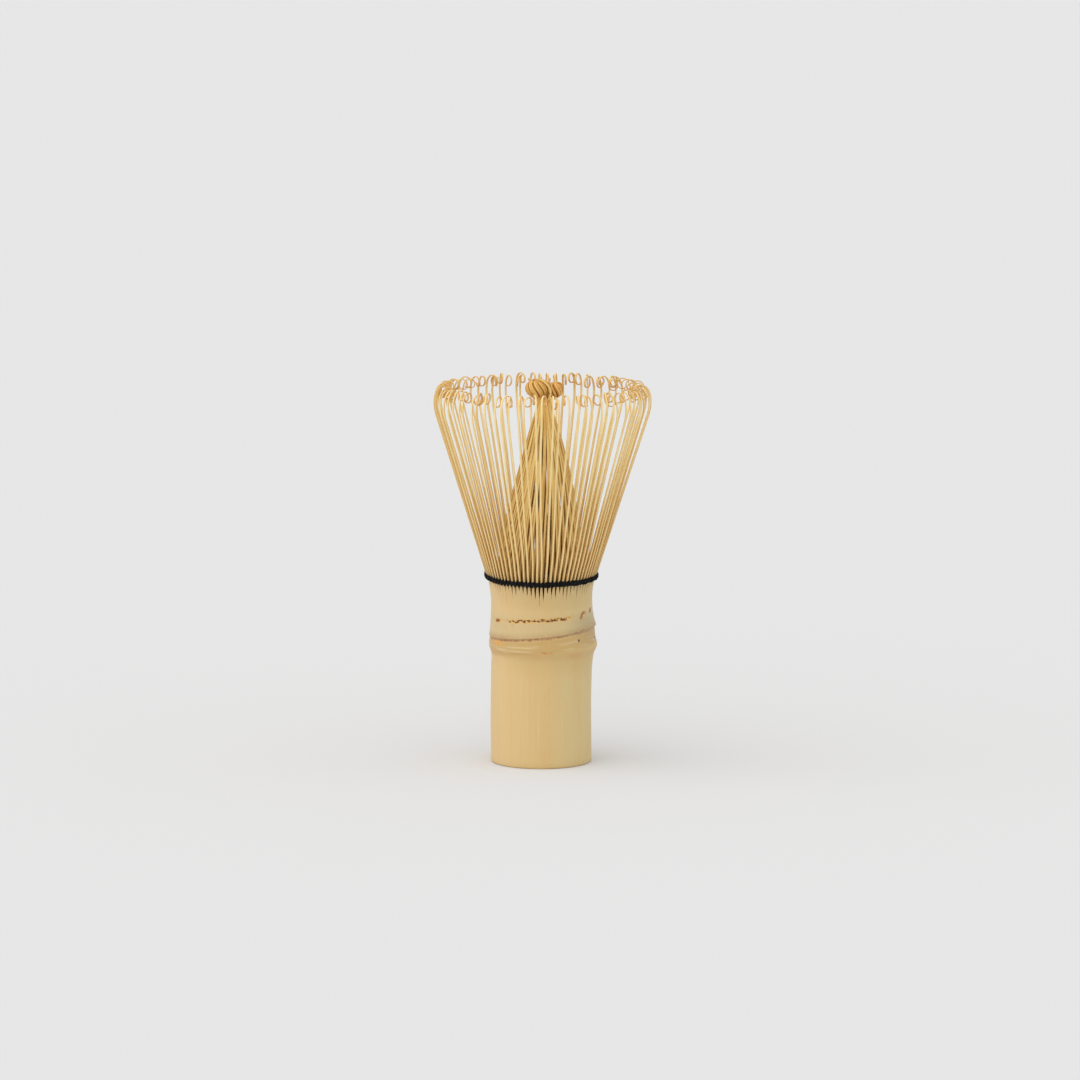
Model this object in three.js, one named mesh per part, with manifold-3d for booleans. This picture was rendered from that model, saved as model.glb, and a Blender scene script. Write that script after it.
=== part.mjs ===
// Bamboo tea whisk (chasen). One length of bamboo is the handle. Above its node the wall is split into
// tines: an outer ring that flares and curls over at the tips, and an inner ring that leans together into
// a tent whose curled tips hold each other in a knot. A black cotton thread is twined round the outer tines.
//
// Millimetres, +Z up. The origin is the centre of the handle's flat bottom face.
import * as THREE from 'three';
import { mergeVertices } from 'three/addons/utils/BufferGeometryUtils.js';
import Module from 'manifold-3d';

const wasm = await Module();
wasm.setup();

// ---- Driving dimensions ---------------------------------------------------------------------------

// The culm is first split into segments, and each segment into outer and inner tines that alternate.
const SEGMENTS = 16;
const TINES_PER_SEGMENT = 5;
const SEGMENT_ANGLE = 2 * Math.PI / SEGMENTS;
const TINE_ANGLE = SEGMENT_ANGLE / TINES_PER_SEGMENT;

const HEIGHT = 110;
const HANDLE_RADIUS = 14.5;
const BORE_RADIUS = 11.3;
const HANDLE_TOP = 52.05;
const HANDLE_TOP_RADIUS = 15.3;
const FOOT_CHAMFER = 0.4;
const DIAPHRAGM = { low: 36, high: 40 };
// The swelling of the bamboo's node: its lower lip, the crest above it, and where it ends.
const NODE_RIDGE = { start: 30.5, lip: 33, lipRadius: 15.5, crest: 37.5, crestRadius: 15.3, end: 46 };

const ROOT = { low: 52.35, high: 53.35, gap: 0.3 };
const OUTER_ROOT = { inner: 13.9, outer: 15.3 };
const INNER_ROOT = { inner: 11.6, outer: 13.3 };

// A tine starts a little way inside its root, so that the two join in one solid.
const TINE_FOOT = ROOT.low + 0.2;
// An outer tine leans out, bends until it leans in, and then curls over towards the axis.
const HEAD_RADIUS = 30.6;
const OUTER_LEAN = THREE.MathUtils.degToRad(17.6);
const OUTER_BEND = { radius: 14, leanIn: THREE.MathUtils.degToRad(18), steps: 3 };
const OUTER_WIDTH = 0.5;
const OUTER_THICKNESS = { root: 0.7, tip: 0.3 };
const CURL = { radius: 1.5, turn: THREE.MathUtils.degToRad(290), steps: 6 };

const INNER_WIDTH = 0.3;
const INNER_THICKNESS = { root: 0.6, tip: 0.4 };
const TENT = { rootRadius: 12.45, bulgeRadius: 9.9, bulgeHeight: 78, topRadius: 3.3, top: 98, steps: 3 };
// Where the inner tines have run together into one bundle, which is narrowest at the neck.
const BUNDLE_FOOT = 96.5;
const NECK = { height: 104.8, radius: 1.95 };
// The knot of curled tips is a short roll, longer across the whisk (X) than through it (Y), that lies a
// little to one side. The factors are parts of its half length and half depth at each height.
const KNOT = { halfLength: 5.6, halfDepth: 3.8, offset: 0.7 };
const KNOT_PROFILE = [[0.85, 106.2], [1, 108.2], [0.8, 109.7], [0.5, HEIGHT]];
const KNOT_CORE = 0.8;
const SECTOR_GAP = 0.12;

const THREAD_HEIGHT = 54.35;
const STRAND = { halfThickness: 0.12, halfHeight: 0.3, reach: 0.62, rise: 0.38, hold: 0.3 };
// The knot that ends the thread, a bead that lies against it at the back.
const BEAD = { radius: 0.7, standOff: 1.2, sides: 8, rings: 6 };

// ---- Materials ------------------------------------------------------------------------------------

const material = (color, roughness) => new THREE.MeshStandardMaterial({ color, roughness, metalness: 0 });
const bambooSkin = material(0xd6bd85, 0.5);
const outerTineBamboo = material(0xe3c886, 0.55);
const innerTineBamboo = material(0xcfae6b, 0.6);
const blackCotton = material(0x1b1a1c, 0.9);

// ---- Helpers --------------------------------------------------------------------------------------

function toSolid(geometry) {
  const bare = geometry.clone();
  bare.deleteAttribute('normal');
  bare.deleteAttribute('uv');
  const merged = mergeVertices(bare, 1e-4);
  const vertProperties = merged.attributes.position.array;
  const triVerts = new Uint32Array(merged.index.array);
  return new wasm.Manifold(new wasm.Mesh({ numProp: 3, vertProperties, triVerts }));
}

function toGeometry(solid) {
  const mesh = solid.getMesh();
  const geometry = new THREE.BufferGeometry();
  geometry.setAttribute('position', new THREE.BufferAttribute(mesh.vertProperties, 3));
  geometry.setIndex(new THREE.BufferAttribute(mesh.triVerts, 1));
  const faceted = geometry.toNonIndexed();
  faceted.computeVertexNormals();
  return faceted;
}

// A shape drawn in a radial plane (x is the distance from the axis, y the height), made `width` thick.
function radialSlab(shape, width) {
  const geometry = new THREE.ExtrudeGeometry(shape, { depth: width, bevelEnabled: false });
  geometry.translate(0, 0, -width / 2);
  return geometry.rotateX(Math.PI / 2);
}

// A shape drawn in plan (x, y), standing from `low` to `high`.
function planSlab(shape, low, high) {
  const depth = high - low;
  const geometry = new THREE.ExtrudeGeometry(shape, { depth, bevelEnabled: false, curveSegments: 2 });
  return geometry.translate(0, 0, low);
}

function arc(centre, radius, from, to) {
  return new THREE.EllipseCurve(centre.x, centre.y, radius, radius, from, to);
}

// The outline of a strip that follows `line` and whose thickness runs evenly from root to tip.
function strip(line, thickness) {
  const reach = [0];
  for (let i = 1; i < line.length; i++) {
    reach.push(reach[i - 1] + line[i].distanceTo(line[i - 1]));
  }
  const left = [];
  const right = [];
  line.forEach((point, i) => {
    const before = line[Math.max(i - 1, 0)];
    const after = line[Math.min(i + 1, line.length - 1)];
    const along = after.clone().sub(before).normalize();
    const normal = new THREE.Vector2(-along.y, along.x);
    const half = THREE.MathUtils.lerp(thickness.root, thickness.tip, reach[i] / reach.at(-1)) / 2;
    left.push(point.clone().addScaledVector(normal, half));
    right.push(point.clone().addScaledVector(normal, -half));
  });
  return new THREE.Shape([...right, ...left.reverse()]);
}

// A ring segment in plan, between two radii, that stops `gap` / 2 short of each neighbour.
function rootArc({ inner, outer }) {
  const outerHalf = SEGMENT_ANGLE / 2 - ROOT.gap / 2 / outer;
  const innerHalf = SEGMENT_ANGLE / 2 - ROOT.gap / 2 / inner;
  const shape = new THREE.Shape();
  shape.absarc(0, 0, outer, -outerHalf, outerHalf, false);
  shape.absarc(0, 0, inner, innerHalf, -innerHalf, true);
  return planSlab(shape, ROOT.low, ROOT.high);
}

// One segment: its root and its tines, which fan out evenly to both sides of the +X direction.
function comb(root, tine) {
  let solid = toSolid(root);
  for (let i = 0; i < TINES_PER_SEGMENT; i++) {
    const angle = (i - (TINES_PER_SEGMENT - 1) / 2) * TINE_ANGLE;
    solid = solid.add(toSolid(tine.clone().rotateZ(angle)));
  }
  return solid;
}

// ---- Handle ---------------------------------------------------------------------------------------

// A hollow length of bamboo, open at both ends, with the node's natural diaphragm across it.
function handleGeometry() {
  const profile = [
    [0, DIAPHRAGM.low],
    [BORE_RADIUS, DIAPHRAGM.low],
    [BORE_RADIUS, 0],
    [HANDLE_RADIUS - FOOT_CHAMFER, 0],
    [HANDLE_RADIUS, FOOT_CHAMFER],
    [HANDLE_RADIUS, NODE_RIDGE.start],
    [NODE_RIDGE.lipRadius, NODE_RIDGE.lip],
    [NODE_RIDGE.crestRadius, NODE_RIDGE.crest],
    [HANDLE_RADIUS, NODE_RIDGE.end],
    [HANDLE_TOP_RADIUS, HANDLE_TOP],
    [BORE_RADIUS, HANDLE_TOP],
    [BORE_RADIUS, DIAPHRAGM.high],
    [0, DIAPHRAGM.high],
  ].map(([radius, height]) => new THREE.Vector2(radius, height));
  return new THREE.LatheGeometry(profile, 3 * SEGMENTS).rotateX(Math.PI / 2);
}

// ---- Outer tines ----------------------------------------------------------------------------------

// The centreline of an outer tine in its radial plane: a straight stretch, the bend and the curl.
function outerTineLine() {
  const { radius, leanIn, steps } = OUTER_BEND;
  const curlTop = HEIGHT - OUTER_THICKNESS.tip / 2;
  const uprightHeight = curlTop - CURL.radius - (radius - CURL.radius) * Math.sin(leanIn);
  const bendCentre = new THREE.Vector2(HEAD_RADIUS - radius, uprightHeight);
  const curlCentre = new THREE.Vector2(Math.cos(leanIn), Math.sin(leanIn));
  curlCentre.multiplyScalar(radius - CURL.radius).add(bendCentre);
  const bend = arc(bendCentre, radius, -OUTER_LEAN, leanIn).getPoints(steps);
  const curl = arc(curlCentre, CURL.radius, leanIn, leanIn + CURL.turn).getPoints(CURL.steps);
  const footRadius = bend[0].x - (bend[0].y - TINE_FOOT) * Math.tan(OUTER_LEAN);
  return [new THREE.Vector2(footRadius, TINE_FOOT), ...bend, ...curl.slice(1)];
}

const outerLine = outerTineLine();

// The outer tines' distance from the axis at a height on their straight part.
function outerTineRadius(height) {
  return outerLine[0].x + (height - outerLine[0].y) * Math.tan(OUTER_LEAN);
}

// ---- Inner tines ----------------------------------------------------------------------------------

function innerTineLine() {
  const curve = new THREE.QuadraticBezierCurve(
    new THREE.Vector2(TENT.rootRadius, TINE_FOOT),
    new THREE.Vector2(TENT.bulgeRadius, TENT.bulgeHeight),
    new THREE.Vector2(TENT.topRadius, TENT.top),
  );
  return curve.getPoints(TENT.steps);
}

// How far the knot reaches from the axis in one direction: in plan it is an ellipse that lies off centre.
function knotRadius(direction) {
  const along = Math.cos(direction) / KNOT.halfLength;
  const across = Math.sin(direction) / KNOT.halfDepth;
  const shift = KNOT.offset / KNOT.halfLength;
  const stretch = along ** 2 + across ** 2;
  return (along * shift + Math.sqrt((along * shift) ** 2 + stretch * (1 - shift ** 2))) / stretch;
}

// Where the tines have run together: the profile of the bundle and the knot, seen from the side.
function knotSlab(direction) {
  const reach = knotRadius(direction);
  const outline = new THREE.Shape([
    new THREE.Vector2(KNOT_CORE, BUNDLE_FOOT),
    new THREE.Vector2(TENT.topRadius, BUNDLE_FOOT),
    new THREE.Vector2(NECK.radius, NECK.height),
    ...KNOT_PROFILE.map(([part, height]) => new THREE.Vector2(part * reach, height)),
    new THREE.Vector2(KNOT_CORE, HEIGHT),
  ]);
  return toSolid(radialSlab(outline, 2 * (KNOT.halfLength + KNOT.offset)));
}

// One inner segment keeps to its own wedge of the whisk, with running clearance to its neighbours.
function innerComb(tine, direction) {
  const far = 2 * INNER_ROOT.outer;
  const start = SECTOR_GAP / 2 / Math.sin(SEGMENT_ANGLE / 2);
  const side = (far - start) * Math.tan(SEGMENT_ANGLE / 2);
  const sector = new THREE.Shape([
    new THREE.Vector2(start, 0),
    new THREE.Vector2(far, -side),
    new THREE.Vector2(far, side),
  ]);
  const wedge = toSolid(planSlab(sector, 0, 2 * HEIGHT));
  return comb(rootArc(INNER_ROOT), tine).add(knotSlab(direction)).intersect(wedge);
}

// ---- Thread ---------------------------------------------------------------------------------------

// One strand of the twined thread: it passes outside one tine and inside the next, and in each space
// between two tines it crosses the other strand, over it on the way in and under it on the way out.
// `side` is 1 or -1, for the strand that is outside the first tine and the one that is inside it.
function strandGeometry(side) {
  const tines = SEGMENTS * TINES_PER_SEGMENT;
  const radius = outerTineRadius(THREAD_HEIGHT);
  const hold = STRAND.hold / radius;
  const stops = [];
  for (let i = 0; i < tines; i++) {
    const out = i % 2 === 0 ? side : -side;
    const angle = i * TINE_ANGLE;
    stops.push({ angle: angle - hold, out: out * STRAND.reach, up: -out * STRAND.rise / 2 });
    stops.push({ angle: angle + hold, out: out * STRAND.reach, up: out * STRAND.rise / 2 });
    stops.push({ angle: angle + TINE_ANGLE / 2, out: 0, up: out * STRAND.rise });
  }
  const plan = stops.map(({ angle, out }) => new THREE.Vector2(radius + out, 0).rotateAround(
    new THREE.Vector2(),
    angle,
  ));
  const positions = [];
  const indices = [];
  stops.forEach(({ angle, up }, i) => {
    const before = plan.at(i - 1);
    const after = plan[(i + 1) % plan.length];
    const along = after.clone().sub(before).normalize();
    const normal = new THREE.Vector2(along.y, -along.x);
    const lean = new THREE.Vector2(Math.tan(OUTER_LEAN), 0).rotateAround(new THREE.Vector2(), angle);
    for (const [n, h] of [[1, -1], [1, 1], [-1, 1], [-1, -1]]) {
      const height = up + h * STRAND.halfHeight;
      const corner = plan[i].clone().addScaledVector(normal, n * STRAND.halfThickness);
      corner.addScaledVector(lean, height);
      positions.push(corner.x, corner.y, THREAD_HEIGHT + height);
    }
    const here = 4 * i;
    const next = 4 * ((i + 1) % stops.length);
    for (let side = 0; side < 4; side++) {
      const other = (side + 1) % 4;
      indices.push(here + side, next + side, next + other);
      indices.push(here + side, next + other, here + other);
    }
  });
  const geometry = new THREE.BufferGeometry();
  geometry.setAttribute('position', new THREE.Float32BufferAttribute(positions, 3));
  geometry.setIndex(indices);
  geometry.computeVertexNormals();
  return geometry;
}

// ---- Assembly -------------------------------------------------------------------------------------

const whisk = new THREE.Group();

function add(name, geometry, finish, parent = whisk) {
  const mesh = new THREE.Mesh(geometry, finish);
  mesh.name = name;
  parent.add(mesh);
  return mesh;
}

add('handle_culm', handleGeometry(), bambooSkin);

const outerTine = radialSlab(strip(outerLine, OUTER_THICKNESS), OUTER_WIDTH);
const innerTine = radialSlab(strip(innerTineLine(), INNER_THICKNESS), INNER_WIDTH);
const outerSegment = toGeometry(comb(rootArc(OUTER_ROOT), outerTine));
for (let i = 0; i < SEGMENTS; i++) {
  const number = String(i + 1).padStart(2, '0');
  const direction = i * SEGMENT_ANGLE;
  add(`outer_tines_${number}`, outerSegment, outerTineBamboo).rotation.z = direction;
  // Inner tines stand between outer ones, so their segments are turned by half a tine.
  const innerDirection = direction + TINE_ANGLE / 2;
  const innerSegment = toGeometry(innerComb(innerTine, innerDirection));
  add(`inner_tines_${number}`, innerSegment, innerTineBamboo).rotation.z = innerDirection;
}

add('thread_strand_a', strandGeometry(1), blackCotton);
add('thread_strand_b', strandGeometry(-1), blackCotton);
const bead = add('thread_knot', new THREE.SphereGeometry(BEAD.radius, BEAD.sides, BEAD.rings), blackCotton);
bead.position.set(0, outerTineRadius(THREAD_HEIGHT) + STRAND.reach + BEAD.standOff, THREAD_HEIGHT);

export default whisk;
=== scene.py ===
"""A bamboo tea whisk in full detail, built round its CAD model: the culm, its tines and the thread.

Lengths are in millimetres until a mesh is made; MM turns them into the shared frame's metres.
"""
import math

import bpy
import numpy as np
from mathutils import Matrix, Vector


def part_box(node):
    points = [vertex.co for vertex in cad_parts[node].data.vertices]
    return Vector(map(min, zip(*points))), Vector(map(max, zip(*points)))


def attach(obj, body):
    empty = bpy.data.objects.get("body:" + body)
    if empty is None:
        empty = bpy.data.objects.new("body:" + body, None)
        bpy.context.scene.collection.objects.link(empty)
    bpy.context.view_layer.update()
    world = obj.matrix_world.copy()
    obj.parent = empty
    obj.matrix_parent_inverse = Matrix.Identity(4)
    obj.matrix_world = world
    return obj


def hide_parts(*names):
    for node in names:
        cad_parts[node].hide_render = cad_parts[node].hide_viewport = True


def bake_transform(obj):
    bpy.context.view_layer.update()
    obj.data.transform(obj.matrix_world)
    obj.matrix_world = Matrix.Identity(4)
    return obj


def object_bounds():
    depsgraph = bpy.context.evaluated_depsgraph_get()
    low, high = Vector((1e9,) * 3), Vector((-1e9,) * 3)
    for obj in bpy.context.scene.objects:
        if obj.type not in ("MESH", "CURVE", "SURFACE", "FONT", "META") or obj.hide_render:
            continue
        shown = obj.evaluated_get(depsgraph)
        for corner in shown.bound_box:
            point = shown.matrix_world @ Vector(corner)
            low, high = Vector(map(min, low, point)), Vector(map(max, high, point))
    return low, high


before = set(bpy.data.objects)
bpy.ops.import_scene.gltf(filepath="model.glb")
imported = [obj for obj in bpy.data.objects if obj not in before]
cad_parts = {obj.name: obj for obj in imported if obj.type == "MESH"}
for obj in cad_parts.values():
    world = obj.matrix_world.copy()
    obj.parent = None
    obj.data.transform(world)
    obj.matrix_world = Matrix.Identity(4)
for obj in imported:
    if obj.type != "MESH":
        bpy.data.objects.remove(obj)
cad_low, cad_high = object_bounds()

MM = 0.001


def box(node):
    """Lowest and highest corner of a CAD node, in millimetres."""
    low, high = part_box(node)
    return np.array(low) / MM, np.array(high) / MM


# ---- Driving dimensions ----

SEGMENTS = sum(name.startswith("outer_tines_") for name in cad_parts)
TINES = 5
PITCH = 2 * math.pi / (SEGMENTS * TINES)
SEGMENT_ANGLE = PITCH * TINES

NODE_RADIUS = box("handle_culm")[1][0]
THREAD_HEIGHT = sum(corner[2] for corner in box("thread_strand_a")) / 2
HEIGHT = cad_high.z / MM
NODE_SWELLING = 1.0
WALL = 3.2
HANDLE_RADIUS = NODE_RADIUS - NODE_SWELLING
BORE_RADIUS = HANDLE_RADIUS - WALL

OUTER_ROOT_RADIUS = 15.5
OUTER_LEAN = math.radians(17.6)
INNER_ROOT_RADIUS = 12.45

FRONT = -math.pi / 2
RIGHT = 0.0
BACK = math.pi / 2

# The sheath scar (a line of specks) and the groove of the node lie in planes that tilt a little, and
# so does the thread, which sits lowest at the front.
SCAR_PLANE = (0.065, 0.0, 43.05)
GROOVE_PLANE = (0.09, 0.0, 37.8)
THREAD_TILT = 0.045


# ---- Small helpers ----

def spline(knots, at):
    """A smooth curve through (position, value) knots, evaluated at the given positions."""
    x, y = np.array(knots, float).T
    slope = np.gradient(y, x)
    at = np.clip(np.asarray(at, float), x[0], x[-1])
    i = np.clip(np.searchsorted(x, at) - 1, 0, len(x) - 2)
    step = x[i + 1] - x[i]
    t = (at - x[i]) / step
    start = y[i] * (1 + 2 * t) * (1 - t) ** 2 + slope[i] * step * t * (1 - t) ** 2
    end = y[i + 1] * t * t * (3 - 2 * t) - slope[i + 1] * step * t * t * (1 - t)
    return start + end


def ease(value, low, high):
    """0 below low, 1 above high, and smooth between them."""
    t = np.clip((np.asarray(value, float) - low) / (high - low), 0, 1)
    return t * t * (3 - 2 * t)


def angle_between(a, b):
    """The turn from b to a, from -pi to pi."""
    return (a - b + math.pi) % (2 * math.pi) - math.pi


def smooth_route(points, count):
    """A smooth curve through given points."""
    points = np.array(points, float)
    reach = np.concatenate([[0], np.cumsum(np.linalg.norm(np.diff(points, axis=0), axis=1))])
    at = np.linspace(0, reach[-1], count)
    return np.stack([spline(np.stack([reach, points[:, i]], 1), at) for i in range(3)], 1)


def plane_height(plane, x, y):
    return plane[0] * x + plane[1] * y + plane[2]


def groove_height(angle, x, y):
    """The node's groove runs in its plane, but climbs a little more at the right."""
    return plane_height(GROOVE_PLANE, x, y) + 0.5 * np.exp(-(angle_between(angle, RIGHT) / 0.6) ** 2)


class Surface:
    """Points, faces and per-point values that grow into one mesh."""

    def __init__(self):
        self.points = []
        self.faces = []
        self.finish = []
        self.values = {}
        self.count = 0

    def add(self, points, faces, finish=0, **values):
        """Adds points, with faces that count from 0 within them."""
        points = np.asarray(points, float).reshape(-1, 3)
        self.points.append(points)
        self.faces += [[corner + self.count for corner in face] for face in faces]
        self.finish += [finish] * len(faces) if np.isscalar(finish) else list(finish)
        for name, value in values.items():
            self.values.setdefault(name, []).append(np.asarray(value, float))
        self.count += len(points)

    def make(self, name, *materials):
        mesh = bpy.data.meshes.new(name)
        mesh.from_pydata((np.concatenate(self.points) * MM).tolist(), [], self.faces)
        for value_name, parts in self.values.items():
            value = np.concatenate(parts)
            if value.ndim == 2:
                stored = mesh.attributes.new(value_name, "FLOAT_VECTOR", "POINT")
                stored.data.foreach_set("vector", value.astype(np.float32).ravel())
            else:
                stored = mesh.attributes.new(value_name, "FLOAT", "POINT")
                stored.data.foreach_set("value", value.astype(np.float32))
        for material in materials:
            mesh.materials.append(material)
        mesh.polygons.foreach_set("material_index", self.finish)
        mesh.polygons.foreach_set("use_smooth", [True] * len(mesh.polygons))
        mesh.update()
        piece = bpy.data.objects.new(name, mesh)
        bpy.context.scene.collection.objects.link(piece)
        return piece


def sweep(surface, path, across, through, outline, closed=False, **values):
    """Sweeps an outline, (rings, corners, 2) offsets along across and through, down a path."""
    rings, corners = outline.shape[:2]
    points = path[:, None] + across[:, None] * outline[..., :1] + through[:, None] * outline[..., 1:]
    faces = []
    for i in range(rings if closed else rings - 1):
        here = i * corners
        after = (i + 1) % rings * corners
        for j in range(corners):
            other = (j + 1) % corners
            faces.append([here + j, here + other, after + other, after + j])
    if not closed:
        faces.append(list(range(corners))[::-1])
        faces.append([(rings - 1) * corners + j for j in range(corners)])
    steps = np.linalg.norm(np.diff(path, axis=0), axis=1)
    along = np.concatenate([[0], np.cumsum(steps)])
    grain = np.empty((rings, corners, 3))
    grain[..., 0] = outline[..., 0]
    grain[..., 1] = outline[..., 1]
    grain[..., 2] = along[:, None]
    spread = {name: np.repeat(np.broadcast_to(value, rings), corners) for name, value in values.items()}
    surface.add(points, faces, grain=grain.reshape(-1, 3), **spread)


def strip_outline(width, thickness):
    """A flat strip's section with its edges taken off: 8 corners, counter-clockwise."""
    x = width / 2
    y = thickness / 2
    bevel = 0.3 * np.minimum(x, y)
    corners = [
        (x, -y + bevel), (x, y - bevel), (x - bevel, y), (-x + bevel, y),
        (-x, y - bevel), (-x, -y + bevel), (-x + bevel, -y), (x - bevel, -y),
    ]
    return np.stack([np.stack(corner, -1) for corner in corners], 1)


def unit(vectors):
    return vectors / np.linalg.norm(vectors, axis=1)[:, None]


def direction(angle):
    """Unit vectors that point away from the axis at the given angles."""
    angle = np.asarray(angle, float)
    return np.stack([np.cos(angle), np.sin(angle), np.zeros_like(angle)], -1)


# ---- Materials ----

class Graph:
    """A short way to write a material's nodes."""

    def __init__(self, name):
        self.material = bpy.data.materials.new(name)
        self.material.use_nodes = True
        self.tree = self.material.node_tree
        self.surface = self.tree.nodes["Principled BSDF"]

    def put(self, socket, value):
        if isinstance(value, bpy.types.NodeSocket):
            self.tree.links.new(value, socket)
        elif isinstance(value, (tuple, list)) and len(value) == 3 and len(socket.default_value) == 4:
            socket.default_value = (*value, 1)
        else:
            socket.default_value = value

    def node(self, kind, settings=(), **inputs):
        made = self.tree.nodes.new(kind)
        for name, value in dict(settings).items():
            setattr(made, name, value)
        for name, value in inputs.items():
            self.put(made.inputs[name.replace("_", " ")], value)
        return made

    def set(self, **inputs):
        for name, value in inputs.items():
            self.put(self.surface.inputs[name.replace("_", " ")], value)

    def attribute(self, name, output="Fac"):
        return self.node("ShaderNodeAttribute", {"attribute_name": name}).outputs[output]

    def place(self):
        """The point's place in the row frame, in millimetres."""
        return self.vector("MULTIPLY", self.node("ShaderNodeTexCoord").outputs["Object"], (1 / MM,) * 3)

    def vector(self, operation, a, b, output="Vector"):
        made = self.node("ShaderNodeVectorMath", {"operation": operation})
        self.put(made.inputs[0], a)
        self.put(made.inputs[1], b)
        return made.outputs[output]

    def math(self, operation, a, b=0.0, clamp=False):
        made = self.node("ShaderNodeMath", {"operation": operation, "use_clamp": clamp})
        self.put(made.inputs[0], a)
        self.put(made.inputs[1], b)
        return made.outputs[0]

    def plus(self, a, b):
        return self.math("ADD", a, b)

    def minus(self, a, b):
        return self.math("SUBTRACT", a, b)

    def times(self, a, b):
        return self.math("MULTIPLY", a, b)

    def noise(self, vector, scale, detail=3.0, roughness=0.5, distortion=0.0):
        made = self.node(
            "ShaderNodeTexNoise", Vector=vector, Scale=scale, Detail=detail, Roughness=roughness,
            Distortion=distortion,
        )
        return made.outputs["Fac"]

    def stretched(self, vector, size, detail, roughness=0.5, distortion=0.0):
        """Noise with its own scale along each axis."""
        return self.noise(self.vector("MULTIPLY", vector, size), 1.0, detail, roughness, distortion)

    def between(self, value, low, high):
        """0 where value is low, 1 where it is high, and smooth between; low may be the larger."""
        made = self.node(
            "ShaderNodeMapRange", {"interpolation_type": "SMOOTHSTEP"}, Value=value, From_Min=low,
            From_Max=high,
        )
        return made.outputs["Result"]

    def mix(self, factor, a, b):
        made = self.node("ShaderNodeMix", {"data_type": "RGBA"})
        self.put(made.inputs["Factor"], factor)
        self.put(made.inputs[6], a)
        self.put(made.inputs[7], b)
        return made.outputs[2]

    def lerp(self, factor, low, high):
        made = self.node("ShaderNodeMapRange", Value=factor, To_Min=low, To_Max=high)
        return made.outputs["Result"]

    def bump(self, height, strength, distance_mm):
        made = self.node("ShaderNodeBump", Height=height, Strength=strength, Distance=distance_mm * MM)
        return made.outputs["Normal"]


OUTER_PALE = (0.93, 0.765, 0.415)
OUTER_STRAW = (0.87, 0.66, 0.29)
# The inner tines' colours are a darker copy of the outer ones: painted shade for the inside of the tent.
INNER_SHADED_PALE = (0.82, 0.625, 0.235)
INNER_SHADED_STRAW = (0.73, 0.505, 0.152)
HONEY = (0.77, 0.485, 0.14)
AMBER = (0.80, 0.40, 0.105)
# Painted shade colours: the brown and russet of tine parts hidden in the tent and the knot, the low honey of
# tines near the thread, and the dark of tine edges.
SHADE_BROWN = (0.26, 0.105, 0.018)
LOW_SHADE_HONEY = (0.78, 0.545, 0.205)
SHADED_EDGE = (0.50, 0.24, 0.042)
SEASONED = (0.54, 0.27, 0.055)
SHADE_RUSSET = (0.56, 0.20, 0.022)


def tine_material(name, pale, straw, shade_strength, ripe, seasoned):
    """Split bamboo: fibres along the tine, warmer towards the curled tip, each tine its own shade.

    The last three say how strong the painted shade of the hidden parts is, how ripe the tips, and how dark
    the darkest tines.
    """
    g = Graph(name)
    grain = g.attribute("grain", "Vector")
    own = g.attribute("own")
    tip = g.attribute("tip")
    shift = g.vector("ADD", grain, g.node("ShaderNodeCombineXYZ", X=g.times(own, 57.0)).outputs[0])
    fibre = g.stretched(shift, (7.0, 7.0, 0.22), 4.0, 0.6)
    blotch = g.stretched(shift, (0.8, 0.8, 0.16), 3.0, 0.55)
    colour = g.mix(g.between(blotch, 0.3, 0.7), pale, straw)
    colour = g.mix(g.times(g.between(own, 0.45, 1.0), 0.5), colour, HONEY)
    colour = g.mix(g.times(g.between(fibre, 0.5, 0.66), 0.55), colour, HONEY)
    # Painted shade: towards the thread the tine is darker and warmer, and its edges are darkened there and at
    # the tips.
    low = g.attribute("low")
    colour = g.mix(g.times(low, 0.42), colour, LOW_SHADE_HONEY)
    width = g.math("ABSOLUTE", g.vector("DOT_PRODUCT", grain, (1.0, 0.0, 0.0), "Value"))
    worn = g.math("ADD", tip, g.times(g.minus(blotch, 0.5), 0.8), clamp=True)
    colour = g.mix(g.times(g.between(worn, 0.1, 0.7), ripe), colour, HONEY)
    colour = g.mix(g.times(g.between(worn, 0.5, 1.0), ripe), colour, AMBER)
    dark_tine = g.lerp(g.between(blotch, 0.35, 0.6), 0.4, 1.0)
    dark_tine = g.times(g.between(own, 0.62, 0.95), dark_tine)
    dark_tine = g.times(dark_tine, g.lerp(low, seasoned, 0.5 * seasoned))
    colour = g.mix(dark_tine, colour, SEASONED)
    # Painted shade on the tine's edges, strongest near the thread and at the tips.
    shaded_edge = g.lerp(g.math("MAXIMUM", low, tip), 0.2, 0.78)
    shaded_edge = g.times(shaded_edge, g.between(width, 0.13, 0.31))
    colour = g.mix(shaded_edge, colour, SHADED_EDGE)
    # Painted shade: the foot of a tine turns brown inside the tent and by the thread; deep in the knot and
    # under its rolls a tine turns russet.
    painted_shade = g.mix(g.between(tip, 0.2, 0.5), SHADE_BROWN, SHADE_RUSSET)
    colour = g.mix(g.times(g.attribute("root"), shade_strength), colour, painted_shade)
    g.set(
        Base_Color=colour,
        Roughness=g.lerp(fibre, 0.42, 0.68),
        Normal=g.bump(fibre, 0.35, 0.05),
        Specular_IOR_Level=0.28,
    )
    return g.material


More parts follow.
